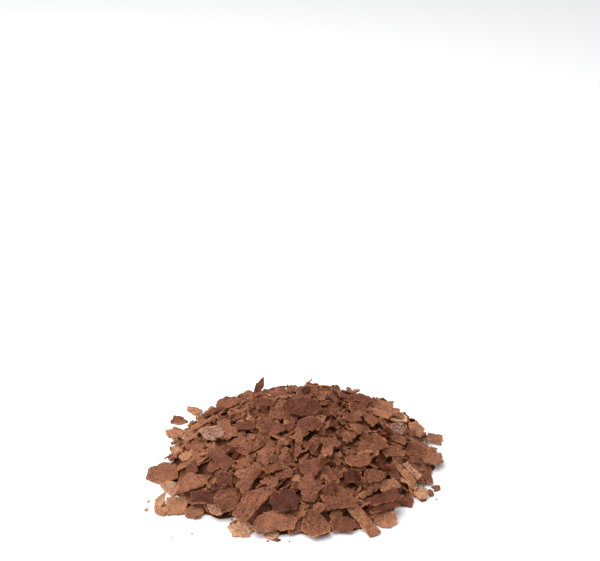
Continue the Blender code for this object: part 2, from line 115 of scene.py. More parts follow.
# The flakes that stand out in the photograph, the lower ones first. Millimetres and degrees: where the
# middle is, how long and wide, which way the length points, how far its far end is raised and how far the
# flake is rolled up on the left of it, the radius of its curl (0 for nearly flat, less than 0 for edges
# down), and the form of its outline. Then its finish, and its bake, from 0 for dark to 1 for pale. That
# number is partly how the flake is baked and partly painted light and shade: low for a flake that lies in
# shade, under or between others or turned away from the light, and high for one that is lit.
KeyFlake = namedtuple("KeyFlake", "x y length width heading raised rolled curl form finish bake")
KEY_FLAKES = (
    (-40.5, -25.5, 7.5, 4.0, 60, 20, 5, 0, "wedge", "pitted", 0.86),
    (-40.0, -29.5, 4.0, 3.0, 15, 0, 5, 0, "shard", "smooth", 0.75),
    (-35.5, -27.5, 6.5, 7.0, 10, 5, 15, 9, "slab", "smooth", 0.76),
    (-30.5, -30.5, 5.5, 5.0, 15, 5, 15, 4, "shard", "smooth", 0.65),
    (-24.0, -30.5, 7.5, 6.0, 350, 0, 10, 0, "shard", "sugar_and_glints", 0.61),
    (-28.0, -28.0, 7.0, 5.0, 5, 5, 25, 3.6, "slab", "smooth", 0.15),
    (-16.5, -38.0, 8.5, 7.0, 15, 0, 10, 0, "ragged", "pitted", 0.92),
    (-8.0, -40.0, 4.5, 4.5, 10, 0, 10, 0, "round", "pitted", 1.00),
    (12.5, -37.5, 7.5, 5.5, 175, 5, -25, 0, "bow", "smooth", 0.35),
    (24.5, -34.0, 7.0, 6.0, 25, 5, 20, 0, "round", "pitted", 0.70),
    (4.0, -39.0, 8.5, 9.0, 5, 0, 20, 6, "shard", "pitted", 0.50),
    (-7.0, -38.0, 12.5, 7.0, 185, 0, -25, 0, "bow", "smooth", 0.60),
    (18.0, -36.0, 12.5, 4.0, 310, -20, 10, 0, "slab", "pitted", 0.65),
    (35.5, -22.0, 5.0, 4.0, 305, -10, 5, 0, "shard", "pitted", 0.85),
    (-40.5, -11.5, 10.5, 8.5, 0, 10, 10, 0, "shard", "pitted", 0.55),
    (-38.0, -18.5, 6.0, 4.5, 315, -5, 15, 0, "slab", "sugar_and_glints", 0.70),
    (-38.0, 0.0, 4.0, 4.5, 15, 5, 5, 0, "shard", "pitted", 0.82),
    (40.5, -6.0, 6.5, 5.5, 30, -5, 10, 0, "shard", "pitted", 0.65),
    (42.5, 7.5, 5.0, 5.0, 355, -10, 5, 3, "slab", "smooth", 0.65),
    (34.5, -9.5, 5.0, 4.0, 35, 5, 20, 0, "shard", "pitted", 0.40),
    (-21.0, -29.5, 7.5, 8.5, 10, 5, 20, 0, "round", "pitted", 0.40),
    (-4.5, -33.0, 9.0, 8.0, 5, 5, 20, 0, "round", "smooth", 0.10),
    (11.0, -32.0, 9.0, 5.5, 15, 5, 20, 0, "slab", "pitted", 0.40),
    (30.5, -25.0, 5.5, 3.5, 355, -5, 10, 6, "slab", "smooth", 0.40),
    (24.0, -31.0, 9.5, 4.0, 25, 0, 5, 9, "slab", "smooth", 0.18),
    (24.0, -28.5, 10.5, 4.5, 25, 5, 10, 5, "slab", "smooth", 0.23),
    (26.0, -22.5, 6.5, 4.0, 25, 0, 20, 0, "slab", "pitted", 0.65),
    (32.0, -19.5, 6.0, 2.5, 340, -15, 10, 0, "slab", "sugar_and_glints", 0.85),
    (33.5, -15.0, 7.5, 2.5, 310, -20, 0, 0, "slab", "sugar_and_glints", 0.65),
    (31.0, -17.5, 10.0, 2.5, 315, -25, 5, 0, "slab", "pitted", 0.68),
    (21.5, -22.0, 6.0, 6.0, 335, -15, 20, 0, "shard", "pitted", 0.40),
    (15.0, -24.0, 5.0, 5.5, 275, -5, 0, -3.1, "slab", "smooth", 0.05),
    (27.5, -18.0, 6.0, 3.0, 300, -30, 5, 0, "slab", "smooth", 0.28),
    (24.5, -17.0, 5.0, 1.5, 325, -25, 15, 4, "slab", "smooth", 0.08),
    (9.0, -29.0, 4.5, 5.0, 350, -5, 25, 0, "shard", "pitted", 0.20),
    (2.5, -28.5, 9.5, 6.5, 290, -30, 10, 0, "ragged", "pitted", 0.45),
    (8.5, -23.5, 6.0, 2.5, 300, -15, 25, 7, "slab", "smooth", 0.30),
    (3.0, -22.5, 6.0, 6.5, 5, 5, 30, 0, "bow", "smooth", 0.35),
    (-12.0, -33.0, 18.0, 8.0, 40, 5, 20, 0, "wedge", "pitted", 0.55),
    (-32.0, -21.0, 10.5, 8.0, 200, -15, 0, 14, "keel", "pitted", 0.61),
    (-21.5, -24.5, 8.0, 5.0, 345, 0, 20, 0, "shard", "pitted", 0.20),
    (-9.0, -24.5, 6.0, 3.5, 10, 5, 15, 0, "leaf", "pitted", 0.60),
    (-14.5, -25.5, 13.0, 4.0, 65, 5, 10, -3.0, "slab", "smooth", 0.52),
    (-4.5, -24.0, 5.0, 2.5, 20, 5, 15, 0, "slab", "pitted", 0.37),
    (-8.0, -22.0, 6.5, 3.0, 25, 5, 10, 0, "slab", "smooth", 0.38),
    (-32.0, -15.5, 4.0, 3.5, 295, -30, 35, 7, "slab", "smooth", 0.33),
    (-34.5, -10.0, 4.0, 3.5, 15, 10, 5, 0, "shard", "pitted", 0.75),
    (-23.5, -15.0, 9.0, 4.5, 320, -15, 30, 8, "slab", "smooth", 0.36),
    (17.0, -18.0, 8.0, 4.5, 10, 0, 20, 0, "bow", "smooth", 0.48),
    (28.0, -10.5, 7.0, 4.5, 25, -5, 20, 0, "slab", "smooth", 0.50),
    (35.5, -3.0, 6.5, 6.0, 0, -10, 10, 0, "round", "pitted", 0.40),
    (23.0, -10.5, 6.0, 4.5, 40, 10, 15, 0, "slab", "smooth", 0.40),
    (30.5, -1.5, 4.5, 3.5, 350, -15, 15, 0, "slab", "smooth", 0.45),
    (36.5, 6.5, 6.5, 5.0, 305, -40, 20, 0, "ragged", "pitted", 0.75),
    (30.0, 3.0, 7.0, 5.5, 0, -5, 20, 0, "shard", "sugar_and_glints", 0.35),
    (22.0, 1.5, 4.0, 4.0, 330, -15, 10, 0, "slab", "pitted", 0.48),
    (31.0, 10.5, 5.5, 2.5, 0, -5, 5, 0, "slab", "smooth", 1.00),
    (30.0, 11.5, 5.5, 3.0, 345, 0, 0, 0, "slab", "smooth", 0.57),
    (25.0, 9.5, 8.0, 3.5, 340, -5, 5, -3.0, "slab", "smooth", 0.65),
    (27.5, 13.5, 8.5, 3.0, 345, 0, 0, 0, "slab", "pitted", 0.64),
    (18.0, 15.5, 11.5, 5.5, 345, 0, 5, 0, "leaf", "pitted", 0.30),
    (27.5, 24.0, 6.5, 4.0, 355, 0, 0, 0, "slab", "pitted", 0.65),
    (16.0, 0.5, 6.5, 4.0, 345, -5, 15, 0, "leaf", "smooth", 0.38),
    (-15.5, -13.5, 8.5, 5.0, 5, 5, 20, 0, "shard", "pitted", 0.45),
    (9.5, -13.0, 5.5, 4.5, 345, -5, 20, 0, "round", "pitted", 0.40),
    (-34.5, 25.0, 7.0, 3.5, 315, 5, 5, 0, "shard", "pitted", 0.76),
    (-31.5, 6.0, 5.5, 2.5, 35, 15, 0, 0, "slab", "pitted", 0.66),
    (-28.0, 16.0, 7.5, 2.5, 30, 15, 5, 0, "slab", "smooth", 0.31),
    (-26.5, -3.0, 8.5, 6.5, 5, 10, 15, 0, "shard", "sugar_and_glints", 0.53),
    (-23.0, 14.5, 8.0, 5.0, 20, 5, 5, 0, "round", "pitted", 0.48),
    (-17.5, 24.0, 4.0, 2.5, 45, 15, 10, 0, "shard", "pitted", 0.43),
    (-16.5, -4.5, 6.0, 3.5, 10, 5, 15, 0, "slab", "smooth", 0.27),
    (-11.5, 7.0, 7.0, 3.5, 5, 0, 10, 0, "slab", "smooth", 0.25),
    (-8.0, 34.0, 9.5, 3.0, 20, 0, 5, 0, "wedge", "smooth", 0.26),
    (10.0, 20.0, 6.0, 4.0, 345, -5, 15, 0, "wedge", "pitted", 0.03),
    (3.5, 19.5, 7.0, 4.0, 350, -5, 30, 6, "round", "pitted", 0.09),
    (-6.5, -1.0, 5.5, 5.5, 345, -5, 25, 0, "shard", "pitted", 0.40),
    (3.0, -7.0, 8.5, 6.0, 350, -5, 20, 0, "shard", "pitted", 0.30),
    (-8.5, -7.5, 10.0, 4.5, 350, 0, 15, 0, "leaf", "smooth", 0.35),
    (0.5, 1.5, 12.5, 8.0, 355, 0, 15, 0, "round", "pitted", 0.20),
    (-13.5, 25.5, 9.0, 3.0, 5, 65, 45, 0, "leaf", "smooth", 0.37),
)

# The pieces that lie by themselves on the table, in the same units: where, how long and wide, the
# heading and the bake.
LOOSE_PIECES = (
    (-39.5, 19.5, 5.8, 4.4, 350, 0.45),
    (-39.5, 12.5, 6.0, 5.6, 20, 0.75),
    (-38.8, -26.8, 3.4, 3.0, 30, 0.80),
    (19.0, 38.5, 2.4, 1.8, 350, 0.80),
    (38.5, -20.0, 3.6, 2.0, 100, 0.55),
    (40.5, -17.5, 3.0, 2.6, 20, 0.55),
    (36.0, -23.0, 2.6, 2.0, 60, 0.50),
    (-44.5, -24.0, 1.4, 1.0, 30, 0.90),
    (-44.5, -28.0, 1.9, 1.3, 80, 0.85),
    (-36.0, 17.0, 1.3, 1.0, 40, 0.90),
    (-30.5, -39.0, 1.0, 0.8, 10, 1.00),
    (-36.0, -41.0, 0.8, 0.6, 70, 1.00),
    (-9.0, -42.5, 1.6, 0.9, 95, 0.60),
    (-6.5, -42.0, 2.2, 1.6, 20, 0.50),
    (-3.0, -42.5, 1.0, 0.8, 50, 0.80),
    (36.5, -7.0, 1.2, 0.9, 10, 0.70),
    (40.0, -23.0, 1.0, 0.8, 50, 0.80),
)

# The heap's filling. Slivers and small shards fall into the hollows, and crumbs on top of them: how many
# are tried, how long, how wide for their length, how thick, the radius of a curl that two in three have,
# and how many of them stand steep. A hollow is what lies under the height averaged over the first blur,
# and they stay clear of the flakes of the photograph by the second.
FILLING = (
    (1000, (2.4 * MM, 6.5 * MM), (0.12, 0.32), 0.36 * MM, 6 * MM, 0.35),
    (900, (1.6 * MM, 4.4 * MM), (0.4, 0.9), 0.32 * MM, 4 * MM, 0.25),
    (400, (0.6 * MM, 1.5 * MM), (0.5, 1.0), 0.26 * MM, 3 * MM, 0.3),
)
HOLLOW_BLUR, BARE_BLUR = 3 * MM, 0.5 * MM

# The shards' outlines. The steps are those between the points of an outline and between its rings, the
# finest for the flakes of the photograph. A point counts so many times against the two beside it, which
# wears the corners. A wave goes up and down at least so many times round the outline, and no point comes
# nearer to the middle than the least share of its distance. Nicks and bites are full on a flake of the
# full size or more, and a loose crumb has at least the least share of the full thickness.
LOOKS_SEED = 7
KEY_STEP, SHOWN_STEP, HIDDEN_STEP = 0.45 * MM, 0.9 * MM, 2.2 * MM
FULL_SIZE, LEAST_THICKNESS = 6 * MM, 0.4
CORNER_KEPT = 6
EDGE_WAVES, EDGE_WAVE_LENGTHS, EDGE_WAVE_SLOPE = 5, (0.9 * MM, 4 * MM), 0.09
LEAST_TURNS, LEAST_REACH = 2, 0.4
NICK = 0.1 * MM
BITES, BITE_DEPTH, BITE_WIDTH = (0, 4), (0.2 * MM, 0.7 * MM), (0.3 * MM, 0.8 * MM)

# The shards' faces. The shoulder is where a shard starts to get thinner, down to this share at its edge,
# and the hollow is the groove between the leaves of the broken edge. Swells are the long waves of a whole
# shard, and pebbles are what baked bubbles leave on its faces. Folds by more than the last angle look
# sharp.
SHOULDER, LEAST_SHOULDER = 0.22 * MM, 0.6
EDGE_THINNED = 0.82
EDGE_HOLLOW = 0.10 * MM
SWELLS, SWELL_LENGTHS, SWELL_SLOPE = 3, (3.0 * MM, 9.0 * MM), 0.15
PEBBLES, PEBBLE_LENGTHS = 5, (1.0 * MM, 2.4 * MM)
PEBBLE_SLOPES = {"pitted": 0.17, "smooth": 0.07, "sugar_and_glints": 0.18}
SHARP_FROM = math.radians(38)

# How often a random shard has each finish. Then its bake: the mean in the middle of the heap, the spread,
# the range, and how much paler the mean gets towards the edge, by which power of the way there. That
# paleness is painted light, as of the white table lighting the flakes at the edge of the heap.
FINISH_SHARES = {"pitted": 0.66, "smooth": 0.34}
BAKE, BAKE_SPREAD, BAKE_RANGE = 0.47, 0.1, (0.2, 0.7)
RIM_PAINTED_LIGHT, RIM_POWER = 0.17, 3

# The mound of crumbs under the flakes: its rings and sectors, the shares of the foot between which its
# edge may lie, how much of the table round its edge flakes cover and over how far that is averaged, how
# deep it lies under the bed and over how far the bed's height is averaged, how rough it is, and its least
# height over the table.
CORE_RINGS, CORE_SECTORS = 46, 180
CORE_INSIDE, CORE_COVERED, COVERED_BLUR = np.linspace(0.8, 1.0, 41), 0.78, 2 * MM
CORE_SINK, CORE_BLUR = 1.6 * MM, 2.5 * MM
CORE_GRIT = 0.22 * MM
CORE_LEAST = 2 * TABLE_GAP

# The camera, for a 36 mm wide sensor: its lens, its place and how far it looks down, in degrees.
SENSOR, LENS = 36, 75.7
CAMERA_PLACE = (0, -326.8 * MM, 221.6 * MM)
CAMERA_PITCH = 26.24

# The studio, in metres and watts: the table, how bright the light all round is, and the softbox.
TABLE_SIDE, TABLE_COLOUR, TABLE_ROUGHNESS = 4, "#F3F3F4", 0.9
SURROUND_STRENGTH = 0.55
SOFTBOX_SIDE, SOFTBOX_POWER, SOFTBOX_PLACE = 0.9, 8.6, (-0.3, -0.1, 0.6)


def foot_radius(angle):
    """Distance from the middle to the heap's edge, straight between the twelve measured ones."""
    step = FULL_TURN / len(FOOT_RADII)
    return np.interp(angle, np.arange(len(FOOT_RADII)) * step, FOOT_RADII, period=FULL_TURN)


def foot_share(x, y):
    """How far out a spot is: 0 in the middle of the foot and 1 at its edge."""
    return np.hypot(x, y) / foot_radius(np.arctan2(y, x))


def heap_surface(x, y):
    """The heap's height: full in the middle, and falling ever more steeply to nothing at the edge."""
    return HEAP_HEIGHT * np.maximum(0, 1 - foot_share(x, y) ** SLOPE_SHAPE)


class HeightMap:
    """The height of the top of the heap over a square grid, and which flake is on top there."""

    def __init__(self):
        side = np.arange(-REACH, REACH + CELL, CELL)
        x, y = np.meshgrid(side, side, indexing="ij")
        self.height = np.maximum(TABLE_GAP, heap_surface(x, y) - COVER)
        self.owner = np.full(self.height.shape, -1)

    def cells(self, points):
        """The cells of the grid that lie under these points."""
        index = np.rint((points[:, :2] + REACH) / CELL).astype(int)
        return tuple(np.clip(index, 0, len(self.height) - 1).T)

    def at(self, points):
        """The height of the map under these points."""
        return self.height[self.cells(points)]

    def add(self, points, owner):
        """Raises the map to these points, the highest of those in one cell counting."""
        order = np.argsort(points[:, 2])
        cells = tuple(c[order] for c in self.cells(points))
        z = points[order, 2]
        over = z > self.height[cells]
        cells = tuple(c[over] for c in cells)
        self.height[cells] = z[over]
        self.owner[cells] = owner

    def blurred(self, reach):
        """The height averaged over a square of that half side."""
        count = int(round(reach / CELL))
        window = np.ones(2 * count + 1) / (2 * count + 1)
        rows = np.apply_along_axis(np.convolve, 0, self.height, window, "same")
        return np.apply_along_axis(np.convolve, 1, rows, window, "same")


class Flake:
    """A shard of wafer: a polygon of unequal corners, bent over a cylinder and laid in the heap."""

    def __init__(self, rng, length=None, width=None, curl=None, form="shard"):
        if length is None:
            length = float(np.clip(FLAKE_LENGTH * rng.lognormal(0, LENGTH_SPREAD), SHORTEST, LONGEST))
            width = length * rng.uniform(*WIDTH_SHARES)
            curl = rng.choice(CURL_RADII, p=CURL_SHARES) * rng.choice((-1, 1))
        self.length = length
        self.set_corners(rng, length, width, form)
        self.thickness = FLAKE_THICKNESS * rng.uniform(*THICKNESS_SPREAD)
        self.bend_radius = (curl or NEARLY_FLAT) * rng.uniform(*CURL_SPREAD)
        self.bend_axis = rng.uniform(-CURL_SKEW, CURL_SKEW)
        # The solid draws the flake's gap over the table here. The draw keeps both heaps the same.
        rng.uniform(*GAP_SPREAD)
        self.sample = SAMPLE
        self.turn = np.eye(3)
        self.place = np.zeros(3)
        self.finish = None
        self.bake = None

    def set_corners(self, rng, length, width, form):
        """The corners as angles in rising order and distances from the middle."""
        if form == "shard":
            count = int(rng.choice(CORNER_COUNTS))
            uneven = np.arange(count) + rng.uniform(-CORNER_TURN, CORNER_TURN, count)
            angles = rng.uniform(0, FULL_TURN) + FULL_TURN * uneven / count
            ellipse = 1 / np.hypot(np.cos(angles) / length, np.sin(angles) / width)
            radii = ellipse * rng.uniform(*CORNER_SHARES, count)
        else:
            u, v = (np.array(FORMS[form]) * (length / 2, width / 2)).T
            angles, radii = np.arctan2(v, u), np.hypot(u, v) * rng.uniform(*FORM_SPREAD, len(u))
        order = np.argsort(angles % FULL_TURN)
        self.angles, self.radii = angles[order] % FULL_TURN, radii[order]

    def edge(self, angle):
        """Distance from the middle to the straight edges between the corners, by the sine rule."""
        angle = np.asarray(angle) % FULL_TURN
        after = np.searchsorted(self.angles, angle) % len(self.angles)
        before = after - 1
        between = (self.angles[after] - self.angles[before]) % FULL_TURN
        from_first = (angle - self.angles[before]) % FULL_TURN
        near, far = self.radii[before], self.radii[after]
        across = near * np.sin(from_first) + far * np.sin(between - from_first)
        return near * far * np.sin(between) / np.maximum(across, TINY)

    def bent(self, u, v, above):
        """Points of the flat flake wound on a cylinder along its length, at a height above the middle."""
        cos, sin = math.cos(self.bend_axis), math.sin(self.bend_axis)
        along, across = u * cos + v * sin, v * cos - u * sin
        angle = across / self.bend_radius
        radius = self.bend_radius - above
        across = radius * np.sin(angle)
        z = self.bend_radius - radius * np.cos(angle)
        return np.stack([along * cos - across * sin, along * sin + across * cos, z], axis=-1)

    def face(self, side):
        """Samples of the upper face (side 1) or the lower one (side -1), before the flake is laid."""
        half = self.radii.max()
        steps = np.arange(-half, half + self.sample, self.sample)
        u, v = (a.ravel() for a in np.meshgrid(steps, steps))
        inside = np.hypot(u, v) <= self.edge(np.arctan2(v, u))
        return self.bent(u[inside], v[inside], side * self.thickness / 2)

    def laid(self, points):
        """The flake's own points turned and moved to where it lies."""
        return points @ self.turn.T + self.place


def rest_plane(points):
    """The plane over the points that is lowest at the origin, as (height, slope along x, slope along y).

    Three of the points carry it, and the origin lies between them, so a flake rests on it. It starts from
    three points far out and far down. The point furthest over the plane then takes the place of the one
    that keeps the origin between the three, until no point is over it.
    """
    start = [(FAR * math.cos(angle), FAR * math.sin(angle), -FAR) for angle in FIRST_ANGLES]
    points = np.vstack([points, start])
    flat = np.column_stack([np.ones(len(points)), points[:, :2]])
    carriers = list(range(len(points) - 3, len(points)))
    for _ in range(MOST_EXCHANGES):
        plane = np.linalg.solve(flat[carriers], points[carriers, 2])
        over = points[:, 2] - flat @ plane
        highest = int(over.argmax())
        if over[highest] < TOUCHING:
            break
        weights = np.linalg.solve(flat[carriers].T, np.column_stack([(1, 0, 0), flat[highest]]))
        share = np.where(weights[:, 1] > TINY, weights[:, 0] / np.maximum(weights[:, 1], TINY), np.inf)
        carriers[int(share.argmin())] = highest
    return plane


def turned(axis, angle):
    """A turn by the angle about the axis, as a matrix."""
    return np.array(Matrix.Rotation(angle, 3, Vector(axis)))


def resting_turn(flake, heap, spot, heading):
    """The turn in which the flake rests on three points at the spot, or None where that is too steep."""
    level = turned((0, 0, 1), heading)
    under = flake.face(-1) @ level.T
    clear = heap.at(under + (*spot, 0)) - under[:, 2]
    plane = rest_plane(np.column_stack([under[:, :2], clear]))
    slope = math.atan(math.hypot(plane[1], plane[2]))
    if slope > STEEPEST_REST:
        return None
    return turned((plane[2], -plane[1], TINY), slope) @ level


def set_down(flake, heap, spot, turn, number, clear=1, sink=0, overtop=math.inf):
    """Lowers the turned flake on the heap until that share of its underside is clear, less the sink.

    It says whether the flake lies. One that would stand out by more than overtop is refused.
    """
    flake.turn, flake.place = turn, np.array([*spot, 0.0])
    under = flake.laid(flake.face(-1))
    lift = np.quantile(heap.at(under) - under[:, 2], clear) - sink
    flake.place[2] = max(lift, TABLE_GAP - under[:, 2].min())
    over = flake.laid(flake.face(1))
    if (over[:, 2] - heap_surface(over[:, 0], over[:, 1])).max() > overtop:
        return False
    heap.add(over, number)
    return True


def random_lean(rng, share, often):
    """No lean, a slight one, or as often as given a steep one. Near the edge of the heap it is less."""
    kind, slight, steep = rng.uniform(0, 1), rng.normal(0, LEAN_SPREAD), rng.uniform(*STEEP_RANGE)
    lean = steep if kind < often else (slight if kind < LEANING else 0)
    return lean * CALM_SHARE if share > CALM_RIM else lean


def lay_random(flake, heap, spot, number, rng, overtop=math.inf, steep=STEEP):
    """Lays the flake at the spot on its three points, leaning about any level axis, if it can lie so."""
    turn = resting_turn(flake, heap, spot, rng.uniform(0, FULL_TURN))
    lean, about = random_lean(rng, foot_share(*spot), steep), rng.uniform(0, FULL_TURN)
    if turn is None:
        return False
    turn = turn @ turned((math.cos(about), math.sin(about), 0), lean)
    sink = SINK_OF_LEAN * abs(math.sin(lean))
    return set_down(flake, heap, spot, turn, number, sink=sink, overtop=overtop)


def lay_key(key, heap, number, rng):
    """Lays one of the photograph's flakes, turned as it shows there."""
    flake = Flake(rng, key.length * MM, key.width * MM, key.curl * MM, key.form)
    flake.finish, flake.bake = key.finish, key.bake
    heading, raised, rolled = (math.radians(a) for a in (key.heading, key.raised, key.rolled))
    turn = turned((0, 0, 1), heading) @ turned((0, 1, 0), -raised) @ turned((1, 0, 0), rolled)
    set_down(flake, heap, (key.x * MM, key.y * MM), turn, number, clear=KEY_CLEAR)
    return flake


def heap_of_flakes():
    """Lays every flake, the next one always where the heap lacks most, and then those of the photograph.

    It gives the flakes, the heap, and the blurred height of the bed that the last ones were laid on.
    """
    rng = np.random.default_rng(SEED)
    heap = HeightMap()
    flakes, full = [], 0
    while full < FULL_LOOKS:
        angle = rng.uniform(0, FULL_TURN, CANDIDATES)
        distance = FOOT_SPREAD * np.sqrt(rng.uniform(0, 1, CANDIDATES)) * foot_radius(angle)
        spots = np.column_stack([distance * np.cos(angle), distance * np.sin(angle)])
        lacking = heap_surface(spots[:, 0], spots[:, 1]) - heap.at(spots)
        if lacking.max() < LACK:
            full += 1
            continue
        flake = Flake(rng)
        overtop = LEAST_OVERTOP + rng.exponential(MEAN_OVERTOP)
        if lay_random(flake, heap, spots[lacking.argmax()], len(flakes), rng, overtop):
            flakes.append(flake)
    bed = heap.blurred(CORE_BLUR)
    for row in KEY_FLAKES:
        flakes.append(lay_key(KeyFlake(*row), heap, len(flakes), rng))
    return flakes, heap, bed


def filling_shards(heap, first_key, rng):
    """Small shards and crumbs, each in the hollow of several that is deepest under the height around.

    The flakes of the photograph, from the first key number on, stay bare, because where one covers a spot
    the hollow counts as a metre shallower, and by its averaged edge so does the gap beside it.
    """
    around, keys = HeightMap(), HeightMap()
    around.height = heap.blurred(HOLLOW_BLUR)
    keys.height = (heap.owner >= first_key).astype(float)
    keys.height = keys.blurred(BARE_BLUR)
    shards = []
    for count, lengths, widths, thickness, curl, steep in FILLING:
        for _ in range(count):
            angle = rng.uniform(0, FULL_TURN, CANDIDATES)
            distance = np.sqrt(rng.uniform(0, 1, CANDIDATES)) * foot_radius(angle)
            spots = np.column_stack([distance * np.cos(angle), distance * np.sin(angle)])
            hollow = around.at(spots) - heap.at(spots) - keys.at(spots)
            spot = spots[hollow.argmax()]
            length = rng.uniform(*lengths)
            shard = Flake(rng, length, length * rng.uniform(*widths), rng.choice((0, curl, -curl)))
            shard.thickness = thickness * rng.uniform(*THICKNESS_SPREAD)
            shard.sample = SHARD_SAMPLE * shard.radii.max()
            if lay_random(shard, heap, spot, -1, rng, steep=steep):
                shards.append(shard)
    return shards


def loose_pieces(rng):
    """The flakes and crumbs that lie flat on the table by themselves. A small one is thin."""
    pieces = []
    for x, y, length, width, heading, bake in LOOSE_PIECES:
        piece = Flake(rng, length * MM, width * MM)
        piece.thickness *= min(1, LEAST_THICKNESS + piece.length / FULL_SIZE)
        piece.turn = turned((0, 0, 1), math.radians(heading))
        piece.place = np.array([x * MM, y * MM, TABLE_GAP + piece.thickness / 2])
        piece.finish, piece.bake = "pitted", bake
        pieces.append(piece)
    return pieces


def broken_outline(flake, step, rng):
    """The shard's outline seen flat, as points in order round it.

    Each side is split into equal steps. The mean of each point, counted several times, and the two beside
    it wears the corners a little. Each point then moves in or out by the sum of a few sine waves round the
    outline, whose height is their length times the slope over a full turn, by a random nick, and by bites,
    each a bell curve.
    """
    corners = flake.radii[:, None] * np.column_stack([np.cos(flake.angles), np.sin(flake.angles)])
    sides = np.roll(corners, -1, axis=0) - corners
    lengths = np.hypot(*sides.T)
    parts = np.maximum(1, np.rint(lengths / step)).astype(int)
    side = np.repeat(np.arange(len(corners)), parts)
    share = (np.arange(len(side)) - (np.cumsum(parts) - parts)[side]) / parts[side]
    points = corners[side] + share[:, None] * sides[side]
    beside = np.roll(points, 1, axis=0) + np.roll(points, -1, axis=0)
    points = (CORNER_KEPT * points + beside) / (CORNER_KEPT + 2)
    along = (np.cumsum(lengths) - lengths)[side] + share * lengths[side]
    whole = lengths.sum()

    size = min(1, flake.length / FULL_SIZE)
    turns = np.maximum(LEAST_TURNS, whole / rng.uniform(*EDGE_WAVE_LENGTHS, EDGE_WAVES)).astype(int)
    wave = np.sin(FULL_TURN * np.outer(along / whole, turns) + rng.uniform(0, FULL_TURN, EDGE_WAVES))
    out = wave @ (EDGE_WAVE_SLOPE * whole / FULL_TURN / turns) + size * rng.normal(0, NICK, len(points))
    for _ in range(int(rng.integers(*BITES))):
        away = (along - rng.uniform(0, whole) + whole / 2) % whole - whole / 2
        out -= size * rng.uniform(*BITE_DEPTH) * np.exp(-((away / rng.uniform(*BITE_WIDTH)) ** 2))
    return points * np.maximum(1 + out / np.hypot(*points.T), LEAST_REACH)[:, None]


def waves(flat, count, lengths, slope, rng):
    """The height at points of a plane of so many sine waves, each with its own length and direction.

    A wave's height is its length times the slope over a full turn, so all of them are as steep.
    """
    length = rng.uniform(*lengths, count)
    facing = rng.uniform(0, FULL_TURN, count)
    phase = (flat @ np.array([np.cos(facing), np.sin(facing)])) * FULL_TURN / length
    return (np.sin(phase + rng.uniform(0, FULL_TURN, count)) * length).sum(axis=1) * slope / FULL_TURN


def closed_skin(rings, count):
    """Triangles of a closed skin: a fan round the first pole, bands from ring to ring, and a last fan."""
    here = np.arange(count)
    after = (here + 1) % count
    start = 1 + count * np.arange(rings - 1)[:, None]
    a, b = start + here, start + after
    c, d = b + count, a + count
    bands = np.concatenate([np.stack([a, d, c], -1), np.stack([a, c, b], -1)]).reshape(-1, 3)
    rim = 1 + count * (rings - 1)
    first = np.column_stack([np.zeros(count, int), 1 + here, 1 + after])
    last = np.column_stack([np.full(count, rim + count), rim + after, rim + here])
    return np.concatenate([first, bands, last])


def shard_skin(flake, step, finish, rng):
    """The shard as a closed skin: (points, faces, places on the wafer, nearness to the edge).

    The outline shrinks ring by ring to the middle, on the upper face and on the lower one. The last
    ring before the edge is the shoulder, and half way down the edge lies a ring a little further in. The
    shard swells by a few long waves in random directions, and short ones make the pebbles of each face.
    All of it is then bent and laid as the flake is.
    """
    outline = broken_outline(flake, step, rng)
    count = len(outline)
    widest = np.hypot(*outline.T).max()
    shoulder = max(LEAST_SHOULDER, 1 - SHOULDER / widest)
    inner = max(1, int(round(shoulder * widest / step)))
    rise = np.linspace(0, shoulder, inner + 1)[1:]
    hollow = 1 - EDGE_HOLLOW / widest
    shares = np.concatenate([rise, [1, hollow, 1], rise[::-1]])
    half = flake.thickness / 2
    thin = half * EDGE_THINNED
    levels = np.concatenate([np.full(inner, half), [thin, 0, -thin], np.full(inner, -half)])
    edge = np.concatenate([np.zeros(inner), [1, 1, 1], np.zeros(inner)])

    flat = shares[:, None, None] * outline
    flat = np.concatenate([np.zeros((1, 2)), flat.reshape(-1, 2), np.zeros((1, 2))])
    above = np.concatenate([[half], np.repeat(levels, count), [-half]])
    size = min(1, flake.length / FULL_SIZE)
    at_edge = np.concatenate([[0], np.repeat(edge, count), [0]]) * size
    swell = waves(flat, SWELLS, SWELL_LENGTHS, SWELL_SLOPE * size, rng)
    pebbles = waves(flat, PEBBLES, PEBBLE_LENGTHS, PEBBLE_SLOPES[finish], rng)
    above = above + swell + pebbles * np.sign(above)
    points = flake.laid(flake.bent(flat[:, 0], flat[:, 1], above))
    points[:, 2] = np.maximum(points[:, 2], TABLE_GAP)
    places = np.column_stack([flat, np.full(len(flat), rng.uniform(0, 1))])
    return points, closed_skin(len(shares), count), places, at_edge


